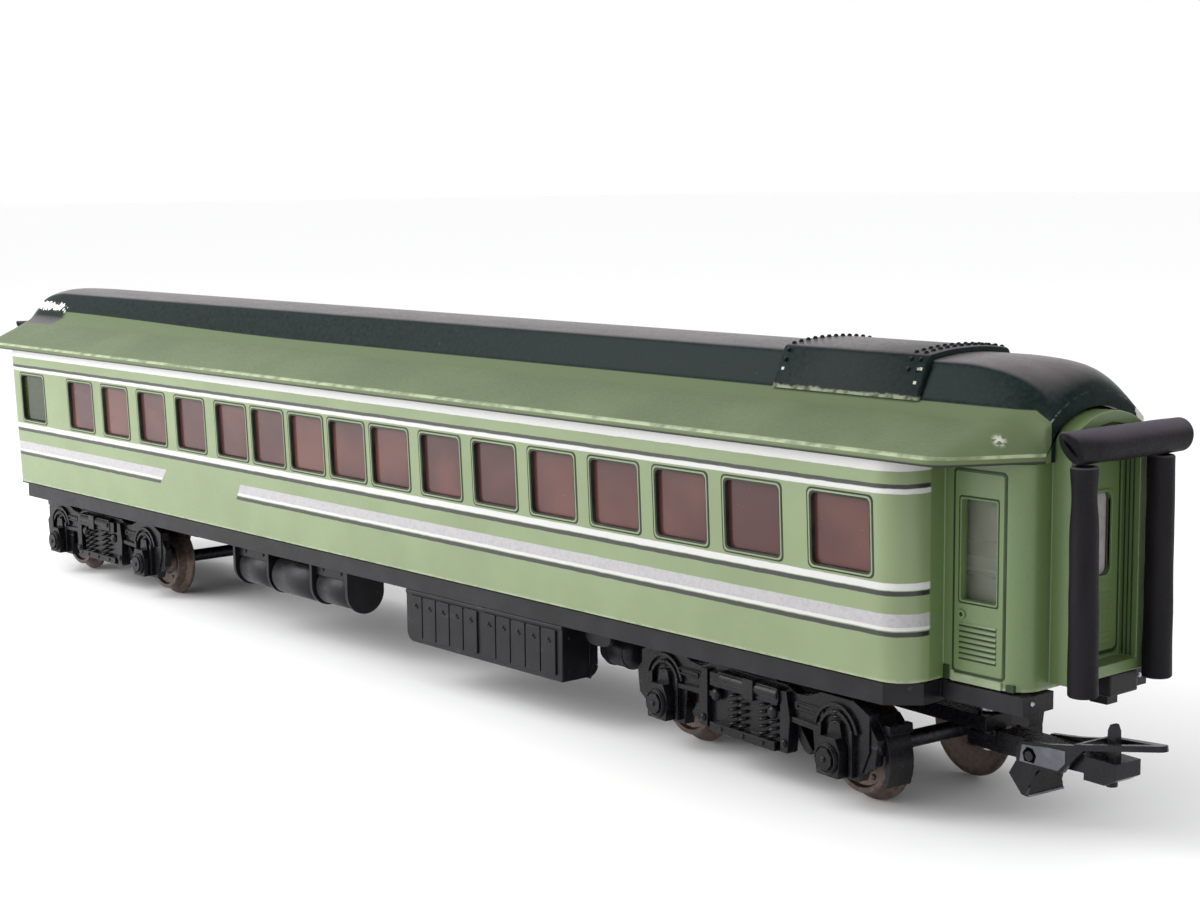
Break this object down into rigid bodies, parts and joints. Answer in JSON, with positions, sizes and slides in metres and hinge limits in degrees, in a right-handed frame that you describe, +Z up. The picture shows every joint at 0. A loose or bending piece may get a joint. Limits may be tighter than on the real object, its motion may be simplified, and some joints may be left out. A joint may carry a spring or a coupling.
{
  "type": "model passenger coach",
  "caption": "Small-scale railway passenger coach with raised-centre roof, striped sides, rubber gangway tubes, swivelling bogies, rolling wheelsets and hook-and-loop couplings.",
  "frame": {"origin": "the middle of the coach's length and width, on the plane under the wheel flanges", "axes": "+X along the coach towards its near end, the end with the riveted roof cover; -Y towards the side whose battery box is at +X, which is the left side; +Z up"},
  "size_m": [0.2472, 0.0364, 0.0483],
  "materials": {
    "body_plastic": "satin moulding with printed stripes",
    "roof_plastic": "dark green gloss paint over light green moulding",
    "window_plastic": "brown tinted glazing",
    "clear_plastic": "clear glazing",
    "gangway_rubber": "soft matt rubber tube",
    "underframe_plastic": "satin black moulding",
    "wheel_metal": "dulled, browned metal",
    "axle_steel": "plain turned steel",
    "pin_steel": "plain steel",
    "ballast_steel": "plain rolled plate",
    "interior_plastic": "plain moulding"
  },
  "bodies": {
    "coach_body": {"body_shell": "body_plastic", "roof": "roof_plastic", "roof_riveted_cover": "roof_plastic", "glazing_left": "window_plastic", "glazing_right": "window_plastic", "lobby_glazing_near": "clear_plastic", "lobby_glazing_far": "clear_plastic", "gangway_tube_left_near": "gangway_rubber", "gangway_tube_right_near": "gangway_rubber", "gangway_tube_top_near": "gangway_rubber", "gangway_tube_left_far": "gangway_rubber", "gangway_tube_right_far": "gangway_rubber", "gangway_tube_top_far": "gangway_rubber", "ballast_weight": "ballast_steel", "seat_unit": "interior_plastic", "chassis": "underframe_plastic", "gangway_foot_near": "underframe_plastic", "gangway_foot_far": "underframe_plastic", "battery_box_left": "underframe_plastic", "battery_box_right": "underframe_plastic", "air_tanks_left": "underframe_plastic", "air_tanks_right": "underframe_plastic", "reservoir_left": "underframe_plastic", "reservoir_right": "underframe_plastic", "king_pin_near": "pin_steel", "king_pin_far": "pin_steel"},
    "bogie_near": {"bogie_frame_near": "underframe_plastic", "coupler_swivel_pin_near": "pin_steel"},
    "wheelset_1": {"axle_1": "axle_steel", "wheel_1_left": "wheel_metal", "wheel_1_right": "wheel_metal"},
    "wheelset_2": {"axle_2": "axle_steel", "wheel_2_left": "wheel_metal", "wheel_2_right": "wheel_metal"},
    "coupler_near": {"coupler_shank_near": "underframe_plastic", "coupler_loop_pin_near": "pin_steel"},
    "coupler_hook_loop_near": {"coupler_loop_near": "underframe_plastic"},
    "bogie_far": {"bogie_frame_far": "underframe_plastic", "coupler_swivel_pin_far": "pin_steel"},
    "wheelset_3": {"axle_3": "axle_steel", "wheel_3_left": "wheel_metal", "wheel_3_right": "wheel_metal"},
    "wheelset_4": {"axle_4": "axle_steel", "wheel_4_left": "wheel_metal", "wheel_4_right": "wheel_metal"},
    "coupler_far": {"coupler_shank_far": "underframe_plastic", "coupler_loop_pin_far": "pin_steel"},
    "coupler_hook_loop_far": {"coupler_loop_far": "underframe_plastic"}
  },
  "joints": [
    {"name": "bogie_swivel_near", "type": "hinge", "parent": "coach_body", "child": "bogie_near", "pos_m": [0.0763, 0, 0.011], "axis": [0, 0, 1], "range_deg": [-7, 17]},
    {"name": "wheelset_1_roll", "type": "hinge", "parent": "bogie_near", "child": "wheelset_1", "pos_m": [0.09099, -0.00129, 0.0057], "axis": [0.0872, 0.9962, 0], "continuous": true},
    {"name": "wheelset_2_roll", "type": "hinge", "parent": "bogie_near", "child": "wheelset_2", "pos_m": [0.06161, 0.00129, 0.0057], "axis": [0.0872, 0.9962, 0], "continuous": true},
    {"name": "coupler_swing_near", "type": "hinge", "parent": "bogie_near", "child": "coupler_near", "pos_m": [0.10041, -0.00211, 0.008], "axis": [0, 0, 1], "range_deg": [-8, 8]},
    {"name": "coupler_loop_lift_near", "type": "hinge", "parent": "coupler_near", "child": "coupler_hook_loop_near", "pos_m": [0.10838, -0.00281, 0.0078], "axis": [-0.0872, -0.9962, 0], "range_deg": [0, 20]},
    {"name": "bogie_swivel_far", "type": "hinge", "parent": "coach_body", "child": "bogie_far", "pos_m": [-0.0763, 0, 0.011], "axis": [0, 0, 1], "range_deg": [-12, 12]},
    {"name": "wheelset_3_roll", "type": "hinge", "parent": "bogie_far", "child": "wheelset_3", "pos_m": [-0.09105, 0, 0.0057], "axis": [0, -1, 0], "continuous": true},
    {"name": "wheelset_4_roll", "type": "hinge", "parent": "bogie_far", "child": "wheelset_4", "pos_m": [-0.06155, 0, 0.0057], "axis": [0, -1, 0], "continuous": true},
    {"name": "coupler_swing_far", "type": "hinge", "parent": "bogie_far", "child": "coupler_far", "pos_m": [-0.1005, 0, 0.008], "axis": [0, 0, 1], "range_deg": [-8, 8]},
    {"name": "coupler_loop_lift_far", "type": "hinge", "parent": "coupler_far", "child": "coupler_hook_loop_far", "pos_m": [-0.1085, 0, 0.0078], "axis": [0, 1, 0], "range_deg": [0, 20]}
  ]
}
